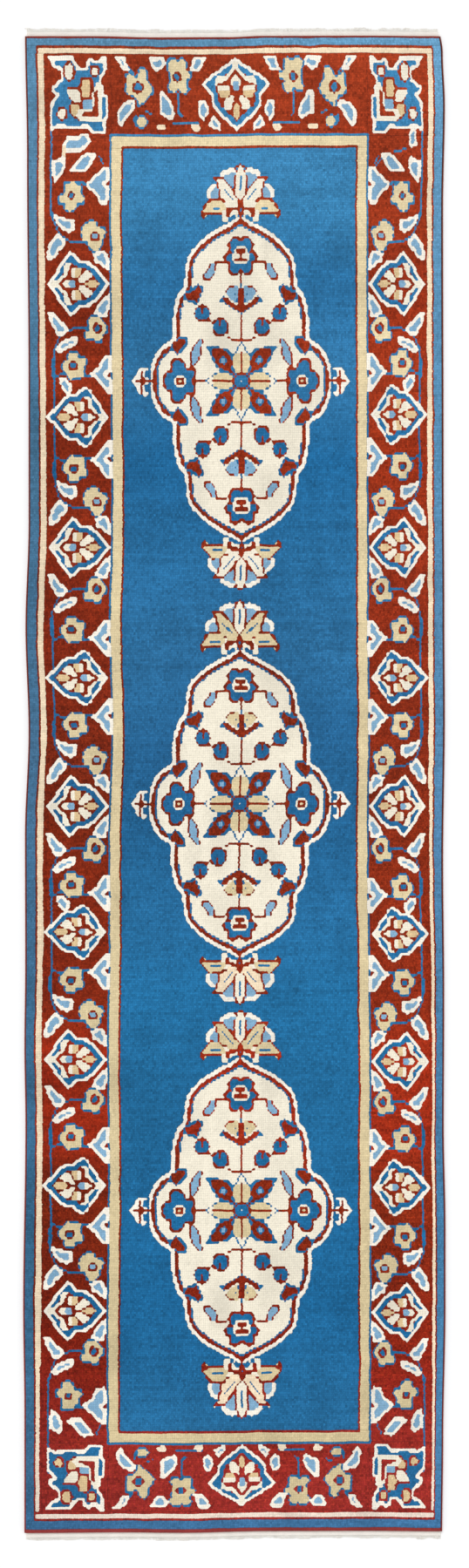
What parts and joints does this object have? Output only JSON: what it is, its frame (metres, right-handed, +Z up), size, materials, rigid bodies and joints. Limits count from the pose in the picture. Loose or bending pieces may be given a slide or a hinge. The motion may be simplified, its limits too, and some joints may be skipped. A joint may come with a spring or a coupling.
{
  "type": "runner rug",
  "caption": "Long narrow hand-knotted wool runner with medallions on a plain field, a floral border, overcast long edges and short cotton fringes at both ends.",
  "frame": {"origin": "centre of the rug's footprint, on the floor that it lies on", "axes": "+Z up out of the pile, +Y along the length towards the end shown at the top of the picture, +X across the width"},
  "size_m": [0.8, 2.8966, 0.011],
  "materials": {
    "wool_blue": "cut wool pile, matt",
    "wool_red": "cut wool pile, matt",
    "wool_dark_red": "cut wool pile, matt",
    "wool_ivory": "cut wool pile, matt",
    "wool_beige": "cut wool pile, matt",
    "cotton": "undyed cotton yarn, matt"
  },
  "bodies": {
    "root": {"outer_band_pile_far": "wool_blue", "outer_band_pile_near": "wool_blue", "outer_band_pile_left": "wool_blue", "outer_band_pile_right": "wool_blue", "corner_pile_far_left": "wool_blue", "corner_pile_far_right": "wool_blue", "corner_pile_near_left": "wool_blue", "corner_pile_near_right": "wool_blue", "field_pile": "wool_blue", "border_pile_far": "wool_red", "border_pile_near": "wool_red", "border_pile_left": "wool_red", "border_pile_right": "wool_red", "end_row_pile_far": "wool_dark_red", "end_row_pile_near": "wool_dark_red", "selvedge_overcasting_left": "wool_dark_red", "selvedge_overcasting_right": "wool_dark_red", "outer_guard_pile_far": "wool_ivory", "outer_guard_pile_near": "wool_ivory", "outer_guard_pile_left": "wool_ivory", "outer_guard_pile_right": "wool_ivory", "medallion_pile_far": "wool_ivory", "medallion_pile_middle": "wool_ivory", "medallion_pile_near": "wool_ivory", "finial_pile_far_left": "wool_ivory", "finial_pile_far_right": "wool_ivory", "finial_pile_middle_left": "wool_ivory", "finial_pile_middle_right": "wool_ivory", "finial_pile_near_left": "wool_ivory", "finial_pile_near_right": "wool_ivory", "inner_guard_pile_far": "wool_beige", "inner_guard_pile_near": "wool_beige", "inner_guard_pile_left": "wool_beige", "inner_guard_pile_right": "wool_beige", "pendant_pile_far_far": "wool_beige", "pendant_pile_far_near": "wool_beige", "pendant_pile_middle_far": "wool_beige", "pendant_pile_middle_near": "wool_beige", "pendant_pile_near_far": "wool_beige", "pendant_pile_near_near": "wool_beige", "foundation_weave": "cotton", "kilim_band_far": "cotton", "kilim_band_near": "cotton", "fringe_far": "cotton", "fringe_near": "cotton", "selvedge_cord_left": "cotton", "selvedge_cord_right": "cotton"}
  },
  "joints": []
}
